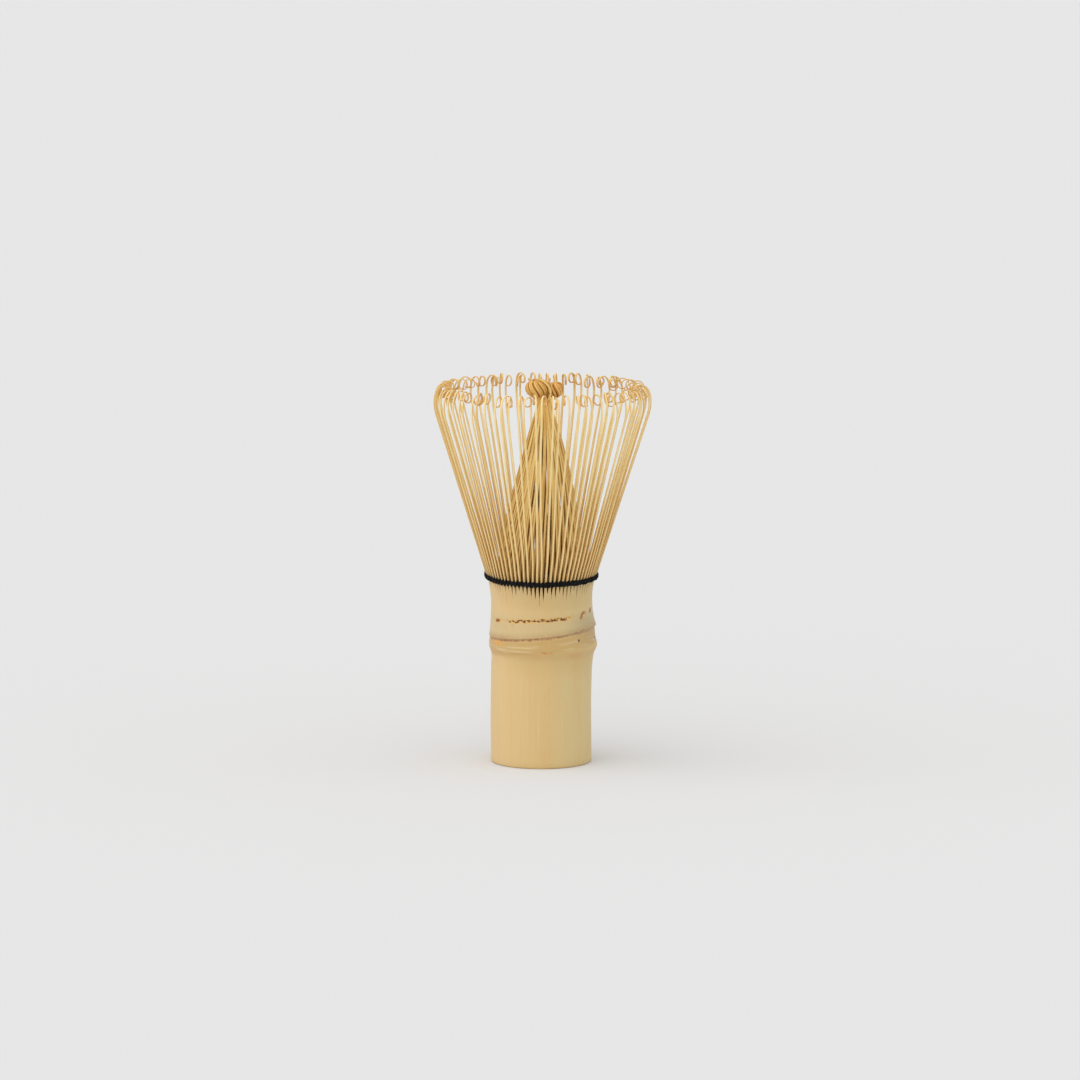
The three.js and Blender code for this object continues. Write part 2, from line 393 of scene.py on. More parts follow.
# The culm's skin, in its plain parts and where the node, the sheath and the splitting have marked it.
SKIN = {
    "front": (0.66, 0.46, 0.195),
    "right": (0.635, 0.485, 0.222),
    "left": (0.68, 0.48, 0.218),
    "warm_patch": (0.68, 0.42, 0.16),
    "dark_fibre": (0.60, 0.36, 0.14),
    "pale_fibre": (0.80, 0.64, 0.37),
    "mottle": (0.62, 0.38, 0.13),
    "upper_left": (0.58, 0.41, 0.17),
    # Painted shade above the groove: the grey band, darker on the right and just over the groove.
    "grey_and_shade": (0.54, 0.42, 0.215),
    "shade_right_above_groove": (0.39, 0.305, 0.16),
    "shade_over_groove": (0.42, 0.255, 0.095),
    "ridge": (0.51, 0.32, 0.1),
    # Painted shade on the right of the ridge.
    "ridge_shade_right": (0.43, 0.305, 0.13),
    "under_ridge": (0.585, 0.40, 0.15),
    # Painted highlight for the pale streaks on the ridge's waxy bloom.
    "wax_highlight": (0.74, 0.60, 0.36),
    "ridge_foot": (0.64, 0.36, 0.13),
    "groove_line": (0.33, 0.125, 0.038),
    "scar_edge": (0.78, 0.42, 0.075),
    "scar_dash": (0.13, 0.04, 0.012),
    "scratch": (0.42, 0.36, 0.22),
    # Brown bare wood at the mouth of a slit with some painted shade, and painted shade deeper in it.
    "slit_wood_and_shade": (0.27, 0.14, 0.045),
    "slit_shade": (0.11, 0.05, 0.013),
}
# Marks on the skin: how far round from the front, height, half width, half height, lean, and colour.
SKIN_MARKS = [
    (-15.4, 42.2, 1.8, 0.62, 0.1, (0.72, 0.37, 0.06)),
    (-15.5, 42.2, 1.1, 0.42, 0.1, (0.15, 0.045, 0.012)),
    (-14.6, 35.75, 2.2, 0.6, 0.0, (0.67, 0.34, 0.075)),
    (-9.1, 41.4, 0.2, 0.13, 0.0, (0.30, 0.18, 0.08)),
    (0.8, 33.85, 0.8, 0.17, -0.15, (0.55, 0.20, 0.03)),
    (2.6, 33.85, 0.65, 0.15, 0.0, (0.62, 0.27, 0.05)),
    (7.6, 38.75, 0.9, 0.13, 0.15, (0.40, 0.19, 0.08)),
    (10.4, 39.15, 0.7, 0.15, 0.2, (0.30, 0.14, 0.06)),
    (11.5, 36.8, 0.32, 0.38, 0.2, (0.05, 0.026, 0.014)),
    (12.9, 39.6, 0.8, 0.16, 0.3, (0.36, 0.18, 0.08)),
    (20.5, 36.6, 0.5, 0.36, 0.0, (0.12, 0.06, 0.03)),
    (13.4, 43.7, 0.85, 0.62, 0.7, (0.38, 0.13, 0.015)),
    (14.3, 44.5, 1.0, 0.42, 0.2, (0.36, 0.12, 0.015)),
    (18.6, 44.7, 0.8, 0.65, 0.3, (0.27, 0.10, 0.02)),
]


class Skin(Graph):
    """The culm's skin: where a point lies on it, and the coats of colour that build it up."""

    def __init__(self, name):
        super().__init__(name)
        place = self.place()
        self.at = place
        self.x = self.vector("DOT_PRODUCT", place, (1.0, 0.0, 0.0), "Value")
        self.y = self.vector("DOT_PRODUCT", place, (0.0, 1.0, 0.0), "Value")
        self.z = self.vector("DOT_PRODUCT", place, (0.0, 0.0, 1.0), "Value")
        self.side = self.math("ABSOLUTE", self.plus(self.x, 0.5))
        self.groove = self.attribute("groove")
        self.fine = self.stretched(self.at, (3.0, 3.0, 0.06), 4.0, 0.6)
        self.mottle = self.stretched(self.at, (0.22, 0.22, 0.14), 4.0, 0.6)
        self.uneven = self.stretched(self.at, (0.9, 0.9, 1.6), 3.0, 0.6)
        self.colour = self.mix(self.between(self.x, 0.0, 9.0), SKIN["front"], SKIN["right"])

    def where(self, first, second):
        """1 where two values are both between their limits."""
        return self.times(self.between(*first), self.between(*second))

    def coat(self, factor, colour, strength=None):
        """Lays a colour over what is there, as thickly as the factor says."""
        if strength is not None:
            factor = self.times(factor, strength)
        self.colour = self.mix(factor, self.colour, colour)

    def plain(self):
        """Faint upright fibres and broad patches; warmer on the left."""
        self.coat(self.between(self.x, -3.0, -12.0), SKIN["left"])
        broad = self.stretched(self.at, (0.3, 0.3, 0.025), 3.0)
        self.coat(self.between(broad, 0.45, 0.7), SKIN["warm_patch"], 0.35)
        self.coat(self.between(self.fine, 0.54, 0.74), SKIN["dark_fibre"], 0.22)
        self.coat(self.between(self.fine, 0.46, 0.28), SKIN["pale_fibre"], 0.16)
        self.coat(self.between(self.mottle, 0.56, 0.76), SKIN["mottle"], 0.3)
        upper = self.where((self.z, 43.5, 47.5), (self.x, -14.0, -2.0))
        self.coat(upper, SKIN["upper_left"], 0.6)

    def grey_and_shade(self):
        """Above the groove the skin is greyer, with painted shade over it: darkest just over the groove, at
        the sides and on the right.
        """
        grey_and_shade = self.where((self.groove, -0.1, 0.6), (self.z, 46.0, 42.0))
        self.coat(grey_and_shade, SKIN["grey_and_shade"], 0.5)
        # Painted shade just over the groove, strongest at the sides and broken up by noise.
        shade_over_groove = self.where((self.groove, 0.0, 0.35), (self.groove, 2.6, 0.3))
        shade_over_groove = self.times(shade_over_groove, self.lerp(self.between(self.side, 5.0, 12.0), 0.5, 0.85))
        self.coat(self.times(shade_over_groove, self.between(self.uneven, 0.05, 0.6)), SKIN["shade_over_groove"])
        # Painted shade on the right of the grey band.
        self.coat(self.times(self.between(self.x, 6.0, 13.0), grey_and_shade), SKIN["shade_right_above_groove"], 0.55)

    def ridge(self):
        """The ridge under the groove is darker than the handle, with painted shade at its right and pale
        streaks along it, painted highlights on its waxy bloom.
        """
        ridge = self.where((self.groove, 0.0, -0.8), (self.groove, -5.4, -3.6))
        self.coat(ridge, SKIN["ridge"], 0.8)
        # Painted shade darkens the ridge towards the right.
        self.coat(self.times(ridge, self.between(self.x, 8.0, 15.0)), SKIN["ridge_shade_right"], 0.5)
        under = self.where((self.z, 24.0, 32.0), (self.groove, -3.6, -5.0))
        self.coat(self.times(under, self.between(self.x, -15.0, -4.0)), SKIN["under_ridge"], 0.6)
        # Pale streaks along the ridge: painted highlights on its waxy bloom, which also raise the bump a
        # little.
        streak = self.stretched(self.at, (0.12, 0.12, 1.5), 2.0)
        wax_and_highlight = self.where((self.groove, -1.2, -2.2), (self.groove, -4.6, -3.4))
        wax_and_highlight = self.times(wax_and_highlight, self.between(streak, 0.46, 0.7))
        self.coat(wax_and_highlight, SKIN["wax_highlight"], 0.45)
        foot = self.where((self.z, 31.4, 32.4), (self.z, 34.0, 33.0))
        self.coat(self.times(foot, self.between(self.mottle, 0.35, 0.6)), SKIN["ridge_foot"], 0.6)
        return wax_and_highlight

    def groove_line(self):
        """A broken reddish-brown line lies in the groove."""
        speck = self.stretched(self.at, (1.5, 1.5, 0.9), 3.0, 0.6)
        line = self.plus(self.groove, self.times(self.minus(self.uneven, 0.5), 0.7))
        line = self.between(self.math("ABSOLUTE", line), 0.62, 0.1)
        line = self.times(line, self.lerp(self.between(speck, 0.35, 0.6), 0.4, 0.95))
        line = self.times(line, self.lerp(self.between(self.x, 2.0, 9.0), 1.0, 0.6))
        self.coat(line, SKIN["groove_line"])

    def sheath_scar(self):
        """The sheath scar is a row of brown dashes with amber edges, and ends before the sides."""
        wander = self.stretched(self.at, (0.5, 0.5, 0.0), 2.0)
        across_scar = (-SCAR_PLANE[0], -SCAR_PLANE[1], 1.0)
        scar = self.minus(self.vector("DOT_PRODUCT", self.at, across_scar, "Value"), SCAR_PLANE[2])
        scar = self.math("ABSOLUTE", self.plus(scar, self.minus(wander, 0.5)))
        dash = self.stretched(self.at, (1.1, 1.1, 1.9), 3.0, 0.65)
        scarred = self.between(self.side, 10.0, 8.6)
        amber = self.where((scar, 0.85, 0.35), (dash, 0.37, 0.46))
        self.coat(self.times(amber, scarred), SKIN["scar_edge"], 0.9)
        dark = self.where((scar, 0.6, 0.25), (dash, 0.455, 0.52))
        self.coat(self.times(dark, scarred), SKIN["scar_dash"])

    def marks(self):
        """Single stains and specks, each an oval with a rough edge."""
        rough_edge = self.times(self.minus(self.noise(self.at, 2.2, 3.0), 0.5), 1.6)
        round_front = self.math("ARCTAN2", self.x, self.times(self.y, -1.0))
        round_front = self.times(round_front, HANDLE_RADIUS + 0.5)
        for mark_round, mark_z, wide, tall, lean, mark_colour in SKIN_MARKS:
            across = self.minus(round_front, mark_round)
            up = self.minus(self.minus(self.z, mark_z), self.times(across, lean))
            across = self.math("DIVIDE", across, wide)
            up = self.math("DIVIDE", up, tall)
            reach = self.math("SQRT", self.plus(self.times(across, across), self.times(up, up)))
            self.coat(self.between(self.plus(reach, rough_edge), 1.35, 0.85), mark_colour, 0.9)

    def scratches(self):
        """Faint scratches on the right of the handle."""
        scratch = self.stretched(self.at, (1.3, 1.3, 1.1), 5.0, 0.75, 0.8)
        scratch = self.where((scratch, 0.6, 0.68), (self.x, 3.0, 7.0))
        low_enough = self.where((self.z, 19.0, 23.0), (self.z, 33.0, 27.0))
        self.coat(self.times(scratch, low_enough), SKIN["scratch"], 0.45)


def skin_material():
    """The culm's smooth skin, from the foot to the split top."""
    g = Skin("culm_skin")
    g.plain()
    g.grey_and_shade()
    wax_and_highlight = g.ridge()
    g.groove_line()
    g.sheath_scar()
    g.marks()
    g.scratches()
    # Splitting leaves brown wood on the sides of each slit; painted shade darkens it deeper in the slits and
    # notches and on the rim.
    split = g.attribute("split")
    g.coat(g.between(split, 0.01, 0.4), SKIN["slit_wood_and_shade"], 0.9)
    g.coat(g.between(split, 0.4, 0.85), SKIN["slit_shade"])
    height = g.plus(g.times(g.fine, 0.35), g.mottle)
    height = g.plus(height, g.times(wax_and_highlight, 0.5))
    g.set(
        Base_Color=g.colour,
        Roughness=g.lerp(g.mottle, 0.4, 0.6),
        Normal=g.bump(height, 0.3, 0.12),
        Specular_IOR_Level=g.lerp(g.between(split, 0.1, 0.5), 0.5, 0.08),
        Coat_Weight=g.lerp(g.between(split, 0.0, 0.3), 0.1, 0.0),
        Coat_Roughness=0.35,
    )
    return g.material


def end_grain_material():
    """The sawn foot: pale wood with the dark dots of the fibre bundles."""
    g = Graph("culm_end_grain")
    place = g.place()
    dots = g.node("ShaderNodeTexVoronoi", Vector=g.vector("MULTIPLY", place, (1.0, 1.0, 0.0)), Scale=1.9)
    bundle = g.between(dots.outputs["Distance"], 0.36, 0.16)
    mottle = g.noise(place, 0.5, 4.0)
    colour = g.mix(mottle, (0.74, 0.56, 0.30), (0.62, 0.44, 0.20))
    colour = g.mix(g.times(bundle, 0.75), colour, (0.27, 0.14, 0.05))
    g.set(Base_Color=colour, Roughness=g.lerp(mottle, 0.6, 0.85), Normal=g.bump(bundle, 0.4, 0.06))
    return g.material


def pith_material():
    """The bore: dry, papery pith, paler than the skin."""
    g = Graph("culm_pith")
    place = g.place()
    fibre = g.stretched(place, (1.8, 1.8, 0.12), 5.0, 0.65)
    mottle = g.noise(place, 0.35, 4.0)
    colour = g.mix(g.between(mottle, 0.3, 0.7), (0.78, 0.64, 0.40), (0.62, 0.45, 0.23))
    colour = g.mix(g.times(g.between(fibre, 0.5, 0.7), 0.45), colour, (0.42, 0.26, 0.11))
    g.set(Base_Color=colour, Roughness=g.lerp(fibre, 0.75, 0.95), Normal=g.bump(fibre, 0.6, 0.15))
    return g.material


def cotton_material():
    """Matt black cotton with the fine lay of its yarns."""
    g = Graph("black_cotton")
    grain = g.attribute("grain", "Vector")
    place = g.place()
    yarn = g.stretched(grain, (9.0, 9.0, 2.2), 3.0, 0.6, 0.6)
    fuzz = g.noise(place, 11.0, 4.0, 0.7)
    faded = g.noise(place, 0.4, 2.0)
    colour = g.mix(g.between(yarn, 0.35, 0.75), (0.004, 0.004, 0.004), (0.013, 0.012, 0.012))
    colour = g.mix(g.times(g.between(faded, 0.5, 0.8), 0.4), colour, (0.024, 0.021, 0.020))
    height = g.plus(yarn, g.times(fuzz, 0.6))
    g.set(
        Base_Color=colour,
        Roughness=g.lerp(fuzz, 0.8, 0.98),
        Normal=g.bump(height, 0.8, 0.08),
        Specular_IOR_Level=0.12,
        Sheen_Weight=0.015,
        Sheen_Roughness=0.5,
    )
    return g.material


# ---- Culm ----

CULM_TOP = THREAD_HEIGHT
# How far the skin stands out from the handle's radius, from the foot up to the thread, and how much
# more it stands out on the right than on average.
CULM_PROFILE = [
    (0, 0), (10, 0), (20, -0.03), (26, 0.0), (30, 0.08), (31.7, 0.26), (32.7, 0.6), (33.8, 1.0),
    (34.7, 1.0), (36.2, 0.75), (37.8, 0.6), (40, 0.45), (42, 0.27), (44.5, 0.1), (47, 0.02), (49, 0.14),
    (50.7, 0.36), (52.4, 0.66), (53.7, 0.98), (CULM_TOP, 1.36),
]
CULM_LOPSIDED = [
    (0, -0.08), (22, -0.1), (28, 0.05), (30.8, 0.26), (34, 0.48), (37.5, 0.28), (40, 0.3), (43, 0.16),
    (47, 0.08), (50, 0.0), (CULM_TOP, 0.0),
]
LIP_REACH = 1.5

# The sawn edge of the foot is rounded off: how much the radius drops at each of the first heights.
FOOT_EDGE = {0.12: 0.28, 0.3: 0.1, 0.55: 0.0}

# A slit between two outer tines starts as a scratch and opens upwards into a notch.
NOTCH_START = {"low": 50.4, "high": 52.7}
NOTCH_SLOPE = 0.8
NOTCH_HALF_WIDTH = 0.31
SLIT_HALF_WIDTH = 0.035
SLIT_DEPTH = 0.22
LONGEST_SLIT = 5.5
SLIT_SEED = 11
# Where the notches start lower than elsewhere, and by how much.
DEEP_NOTCHES = ((FRONT, 1.1), (FRONT + 0.75, 1.0), (BACK + 0.4, 1.2))

# The skin's points stand in columns, the same number for every outer tine. Low down they are evenly
# spread, and higher up they gather at the edges of the slit, which lies in the middle of them.
COLUMNS = 8
SLIT_COLUMNS = [3, 4, 5]
GATHER_START = 42.5
GATHER_END = 45.5
TINE_COUNT = SEGMENTS * TINES
SLIT_ANGLES = (np.arange(TINE_COUNT) + 0.5) * PITCH
HALF_PITCH = PITCH / 2 * HANDLE_RADIUS
EVEN_COLUMNS = (np.arange(COLUMNS) / COLUMNS - 0.5) * 2 * HALF_PITCH
IN_SLIT = np.isin(np.arange(COLUMNS), SLIT_COLUMNS)

# The rim between the outer tines and behind them: radius between, radius behind, height between and behind.
RIM = [
    (INNER_ROOT_RADIUS - 0.3, 14.75, CULM_TOP, CULM_TOP),
    (INNER_ROOT_RADIUS - 0.5, 13.6, 53.6, 52.6),
    (BORE_RADIUS + 0.45, 12.4, 52.4, 51.8),
]
# The rest of the outline, as radius and height: the bore above the diaphragm, the diaphragm's upper
# face, its lower face with the bore under it, and the sawn foot.
UPPER_BORE = [(BORE_RADIUS, 51), (BORE_RADIUS, 47.5), (BORE_RADIUS - 0.05, 44), (BORE_RADIUS - 0.1, 41.2)]
UPPER_FACE = [(BORE_RADIUS - 0.6, 40.35), (9.6, 40.0), (7.5, 39.85), (5, 39.8), (2.4, 39.9)]
UPPER_POLE = [0, 0, 39.95]
LOWER_POLE = [0, 0, 36.2]
LOWER_BORE = [
    (2.4, 36.2), (5, 36.1), (7.5, 36.05), (9.8, 35.9), (BORE_RADIUS - 0.35, 35.4), (BORE_RADIUS, 34.4),
    (BORE_RADIUS + 0.05, 24), (BORE_RADIUS + 0.1, 12), (BORE_RADIUS + 0.05, 1), (BORE_RADIUS + 0.1, 0.15),
]
FOOT = [(BORE_RADIUS + 0.25, 0), (12.4, 0), (13.4, 0), (HANDLE_RADIUS - 0.45, 0)]

# The order of the culm's materials.
OUTSIDE, END_GRAIN, PITH = range(3)
# The groove's value where there is no skin: so far from it that none of its colours show.
FAR_BELOW_GROOVE = -30.0
FAR_ABOVE_GROOVE = 15.0
# The rim behind and between the tines is given this split value, which paints it with the slits' shade.
RIM_SPLIT = 0.8


def slit_lines(rng):
    """For each inner tine: where its slit starts, and where it opens into a notch."""
    notch = rng.uniform(NOTCH_START["low"], NOTCH_START["high"], TINE_COUNT)
    for deep, depth in DEEP_NOTCHES:
        notch -= depth * np.exp(-(angle_between(SLIT_ANGLES, deep) / 0.33) ** 2)
    length = rng.gamma(1.1, 0.7, TINE_COUNT) + 3.4 * (rng.uniform(0, 1, TINE_COUNT) > 0.88)
    return notch - np.clip(length, 0.2, LONGEST_SLIT), notch


def culm_skin_radius(angle, z):
    """The skin's radius with the node's asymmetry, its groove and the lip that overhangs the groove."""
    toward_right = np.cos(angle - RIGHT)
    radius = HANDLE_RADIUS + spline(CULM_PROFILE, z) + spline(CULM_LOPSIDED, z) * toward_right
    x = radius * np.cos(angle)
    y = radius * np.sin(angle)
    groove = z - groove_height(angle, x, y)
    lip = 0.2 + 0.42 * np.clip(toward_right, 0, 1) ** 4
    radius = radius + lip * ease(groove, 0.0, 0.32) * np.exp(-np.maximum(groove, 0) / LIP_REACH)
    radius = radius - 0.2 * np.exp(-((groove + 0.05) / 0.26) ** 2)
    scar = z - plane_height(SCAR_PLANE, x, y)
    radius = radius - 0.09 * np.exp(-(scar / 0.3) ** 2)
    # A culm is never quite round, and its skin waves a little.
    wave = 0.05 * np.cos(2 * angle + 0.6) + 0.03 * np.sin(3 * angle + z / 14)
    return radius + wave * (1 - ease(z, 47, 52))


def around_culm(radius, angle, z):
    return np.stack([radius * np.cos(angle), radius * np.sin(angle), z], -1)


def column_angles(z, notch_start):
    """The angle of every column at a height."""
    opened = np.clip((z - notch_start) / (0.75 * (CULM_TOP - notch_start)), 0, 1)
    half = SLIT_HALF_WIDTH + (NOTCH_HALF_WIDTH - SLIT_HALF_WIDTH) * opened ** 0.8
    ones = np.ones(TINE_COUNT)
    gathered = np.stack([
        -HALF_PITCH * ones, -half - 0.07, -half, -0.72 * half, 0 * ones, 0.72 * half, half, half + 0.07,
    ], 1)
    gather = ease(z, GATHER_START, GATHER_END)
    offset = EVEN_COLUMNS * (1 - gather) + gathered * gather
    return SLIT_ANGLES[:, None] + offset / HANDLE_RADIUS


def skin_row(z, drop, slit_start, notch_start):
    """One row round the skin: its points, their heights over the groove, and how deep in a slit it lies,
    which sets bare wood and painted shade.
    """
    angle = column_angles(z, notch_start)
    cut = IN_SLIT * ease(z, GATHER_START, GATHER_END)
    notch = np.maximum(z - notch_start, 0) * NOTCH_SLOPE
    slit = SLIT_DEPTH * ease(z, slit_start, slit_start + 0.6)
    radius = culm_skin_radius(angle, z) - (notch + slit)[:, None] * cut - drop
    tilt = THREAD_TILT * radius * np.sin(angle) * ease(z, 48, CULM_TOP)
    groove = z - groove_height(angle, radius * np.cos(angle), radius * np.sin(angle))
    # Bare wood in a slit or notch, with painted shade that deepens the further in it lies.
    bare_wood_and_shade = np.clip(0.6 * slit / SLIT_DEPTH + notch / 1.6, 0, 1)
    return around_culm(radius, angle, z + tilt), groove, bare_wood_and_shade[:, None] * cut


def rim_row(angle, radius_between, radius_behind, z_between, z_behind):
    """A row of the rim: behind the outer tines, or at the roots of the inner ones between them."""
    radius = np.where(IN_SLIT, radius_between, radius_behind)
    z = np.where(IN_SLIT, z_between, z_behind) + THREAD_TILT * radius * np.sin(angle)
    return around_culm(radius, angle, z)


def round_row(radius, z):
    """A row that is nearly round, in the bore, on the diaphragm or under the foot."""
    angle = SLIT_ANGLES[:, None] + EVEN_COLUMNS / HANDLE_RADIUS
    wobble = 1 + 0.004 * np.sin(3 * angle + z / 5) + 0.003 * np.sin(11 * angle)
    return around_culm(radius * wobble, angle, np.full_like(angle, z))


def culm_rows():
    """Every row, from the diaphragm down the bore, up the outside and down to the diaphragm again.

    A row is its points, the material of the band that follows it, and its groove and split values.
    """
    slit_start, notch_start = slit_lines(np.random.default_rng(SLIT_SEED))
    heights = np.concatenate([
        list(FOOT_EDGE),
        np.arange(2, 29, 1.8),
        np.arange(29.6, 46, 0.26),
        np.arange(46.2, CULM_TOP, 0.38),
        [CULM_TOP],
    ])
    rows = [(round_row(*ring), PITH, FAR_BELOW_GROOVE, 0.0) for ring in LOWER_BORE]
    rows += [(round_row(*ring), END_GRAIN, FAR_BELOW_GROOVE, 0.0) for ring in FOOT]
    for z in heights:
        points, groove, split = skin_row(z, FOOT_EDGE.get(z, 0.0), slit_start, notch_start)
        rows.append((points, OUTSIDE, groove, split))
    top_angles = column_angles(CULM_TOP, notch_start)
    for ring in RIM:
        material = PITH if ring is RIM[-1] else OUTSIDE
        rows.append((rim_row(top_angles, *ring), material, FAR_ABOVE_GROOVE, RIM_SPLIT))
    rows += [(round_row(*ring), PITH, FAR_ABOVE_GROOVE, 0.0) for ring in UPPER_BORE + UPPER_FACE]
    return rows


def culm():
    """The whole culm as one closed skin: foot, handle, node, split top, bore and diaphragm."""
    rows, materials, grooves, splits = zip(*culm_rows())
    per_row = TINE_COUNT * COLUMNS
    faces = []
    finish = []
    for i in range(len(rows) - 1):
        here = i * per_row
        after = here + per_row
        for j in range(per_row):
            other = (j + 1) % per_row
            faces.append([here + j, here + other, after + other, after + j])
        finish += [materials[i]] * per_row
    poles = len(rows) * per_row
    top_row = poles - per_row
    for j in range(per_row):
        other = (j + 1) % per_row
        faces.append([poles, other, j])
        faces.append([top_row + j, top_row + other, poles + 1])
    finish += [PITH] * (2 * per_row)
    points = np.concatenate([np.reshape(row, (-1, 3)) for row in rows] + [[LOWER_POLE, UPPER_POLE]])
    values = {}
    for name, per_point in (("split", splits), ("groove", grooves)):
        spread = [np.broadcast_to(value, (TINE_COUNT, COLUMNS)).ravel() for value in per_point]
        values[name] = np.concatenate(spread + [[0, 0]])
    surface = Surface()
    surface.add(points, faces, finish, **values)
    piece = surface.make("bamboo_culm", skin_material(), end_grain_material(), pith_material())
    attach(piece, "root")
    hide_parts("handle_culm")


# ---- Tines in general ----

# A tine's cut end is a little narrower and thinner than the strip before it.
END_TAPER = 0.6


def strip_frame(path, sideways):
    """The directions across and through a strip that follows a path and lies as nearly sideways as it can."""
    tangent = unit(np.gradient(path, axis=0))
    across = unit(sideways - tangent * np.sum(sideways * tangent, 1)[:, None])
    return across, np.cross(tangent, across)


def strip(surface, path, sideways, width, thickness, **values):
    """A flat strip of split bamboo along a path, with the values that its material reads."""
    across, through = strip_frame(path, sideways)
    width[-1] *= END_TAPER
    thickness[-1] *= END_TAPER
    sweep(surface, path, across, through, strip_outline(width, thickness), **values)


# ---- Outer tines ----

OUTER_FOOT = THREAD_HEIGHT - 0.25
# Width and thickness by how far along the tine, from 0 at its foot to 1 at its tip.
OUTER_WIDTH = [(0, 0.66), (0.3, 0.63), (0.75, 0.57), (1, 0.46)]
OUTER_THICKNESS = [(0, 0.68), (0.3, 0.55), (0.7, 0.38), (0.85, 0.3), (1, 0.24)]
# The pull of the thread moves every tine a little the same way round.
OUTER_ASIDE = 0.34
STRAIGHT_STATIONS = 14
BEND_STATIONS = 8
CURL_STATIONS = 34
PAST_UPRIGHT = math.radians(12)
BEND_RADIUS = 14.0
CURL_RADIUS = (1.4, 1.75)
CURL_TURN = (300, 440)
# The highest loops end this far under the whisk's top, and the lowest up to this much further.
TOP_GAP = 0.3
TOP_SPREAD = 1.5


def outer_heading(lean, curl_radius, curl_turn):
    """How a tine turns from its lean, past upright, into its curl: headings, lengths, how curled it is."""
    start = math.pi / 2 - lean
    over = math.pi / 2 + PAST_UPRIGHT
    bend = np.linspace(start, over, BEND_STATIONS)
    curl = np.linspace(over, over + curl_turn, CURL_STATIONS)[1:]
    heading = np.concatenate([bend, curl])
    radius = np.interp(
        heading,
        [start, math.pi / 2, over, over + math.radians(35), over + math.radians(70), heading[-1]],
        [BEND_RADIUS, BEND_RADIUS * 0.85, 6.0, 2.0, curl_radius, 0.84 * curl_radius],
    )
    middle = (heading[1:] + heading[:-1]) / 2
    length = (radius[1:] + radius[:-1]) / 2 * np.diff(heading)
    return middle, length, ease(middle, over, over + math.radians(60))


def outer_tine(surface, angle, rng):
    """One outer tine: it leans out, bends upright, and curls over in a loop whose plane is turned."""
    lean = OUTER_LEAN + math.radians(rng.normal(0, 0.45))
    curl_radius = rng.uniform(*CURL_RADIUS)
    curl_turn = math.radians(rng.uniform(*CURL_TURN))
    top = HEIGHT - TOP_GAP - TOP_SPREAD * rng.beta(1.2, 2.5)
    yaw_at_tip = math.radians(np.clip(rng.normal(0, 14), -35, 35))
    drift = rng.normal(0, 0.3)
    bow = rng.normal(0, 0.16)
    spiral = rng.choice([-1, 1]) * rng.uniform(0.06, 0.16)
    own = rng.uniform()

    middle, length, curling = outer_heading(lean, curl_radius, curl_turn)
    rise = np.cumsum(np.sin(middle) * length).max()
    foot_height = OUTER_FOOT + THREAD_TILT * OUTER_ROOT_RADIUS * math.sin(angle)
    straight = (top - rise - foot_height) / math.cos(lean)
    steps = np.concatenate([np.full(STRAIGHT_STATIONS, straight / STRAIGHT_STATIONS), length])
    middle = np.concatenate([np.full(STRAIGHT_STATIONS, math.pi / 2 - lean), middle])
    curling = np.concatenate([np.zeros(STRAIGHT_STATIONS), curling])

    yaw = yaw_at_tip * ease(middle, math.radians(84), math.radians(150))
    outward = direction(angle + yaw)
    sideways = direction(angle + yaw + math.pi / 2)
    step = outward * np.cos(middle)[:, None] + sideways * (spiral * curling)[:, None]
    step[:, 2] += np.sin(middle)
    foot = direction(angle) * OUTER_ROOT_RADIUS + np.array([0, 0, foot_height])
    path = np.concatenate([[foot], foot + np.cumsum(step * steps[:, None], 0)])
    part = np.concatenate([[0], np.cumsum(steps)]) / steps.sum()
    aside = OUTER_ASIDE * ease(part, 0, 0.15) * (1 + part)
    shift = aside + drift * ease(part, 0.05, 0.8) + bow * np.sin(np.pi * np.clip(part / 0.8, 0, 1))
    path += direction(angle + math.pi / 2) * shift[:, None]

    size = rng.uniform(0.9, 1.08)
    z = path[:, 2]
    # The root value paints shade on the tine's foot by the thread, and low paints shade towards the thread.
    strip(
        surface, path, np.concatenate([sideways[:1], sideways]),
        spline(OUTER_WIDTH, part) * size, spline(OUTER_THICKNESS, part) * size,
        own=own, tip=ease(part, 0.78, 1.0), root=1 - ease(z, THREAD_HEIGHT, THREAD_HEIGHT + 6),
        low=1 - ease(z, THREAD_HEIGHT, THREAD_HEIGHT + 40),
    )


# ---- Inner tines ----

# The tent that the inner tines make: the distance of its surface from its middle, by height.
TENT = [
    (THREAD_HEIGHT - 0.2, INNER_ROOT_RADIUS), (62, 11.6), (70, 10.3), (78, 8.7), (81.5, 7.9), (85.6, 6.95),
    (90, 5.8), (94.9, 4.5), (98.3, 3.5), (101.6, 2.55), (104.4, 1.7),
]
NECK = TENT[-1][0]
STEM_HEIGHTS = np.concatenate([np.linspace(TENT[0][0], 82, 12), np.linspace(85, 102, 8), [NECK]])
# The whole tent stands a little to the right of the axis at its top, and is twisted, in degrees.
TENT_LEAN = 0.8
TENT_TWIST = 9
# A few tines side by side on the left of the tent are darker than the rest.
DARK_TINES = math.pi + math.radians(7)
DARK_TINES_REACH = 1.6 * PITCH
# How deep each of a segment's tines lies in the bundle at the neck, and in the knot above it.
NECK_DEPTH = (0.0, 1.1, 0.35, 0.1, 0.7)
KNOT_DEPTH = (0.0, 0.75, 0.42, 0.06, 0.6)
INNER_WIDTH = [(0, 0.7), (0.3, 0.72), (0.6, 0.58), (1, 0.66)]
INNER_THICKNESS = [(0, 0.6), (0.4, 0.46), (0.75, 0.36), (1, 0.34)]
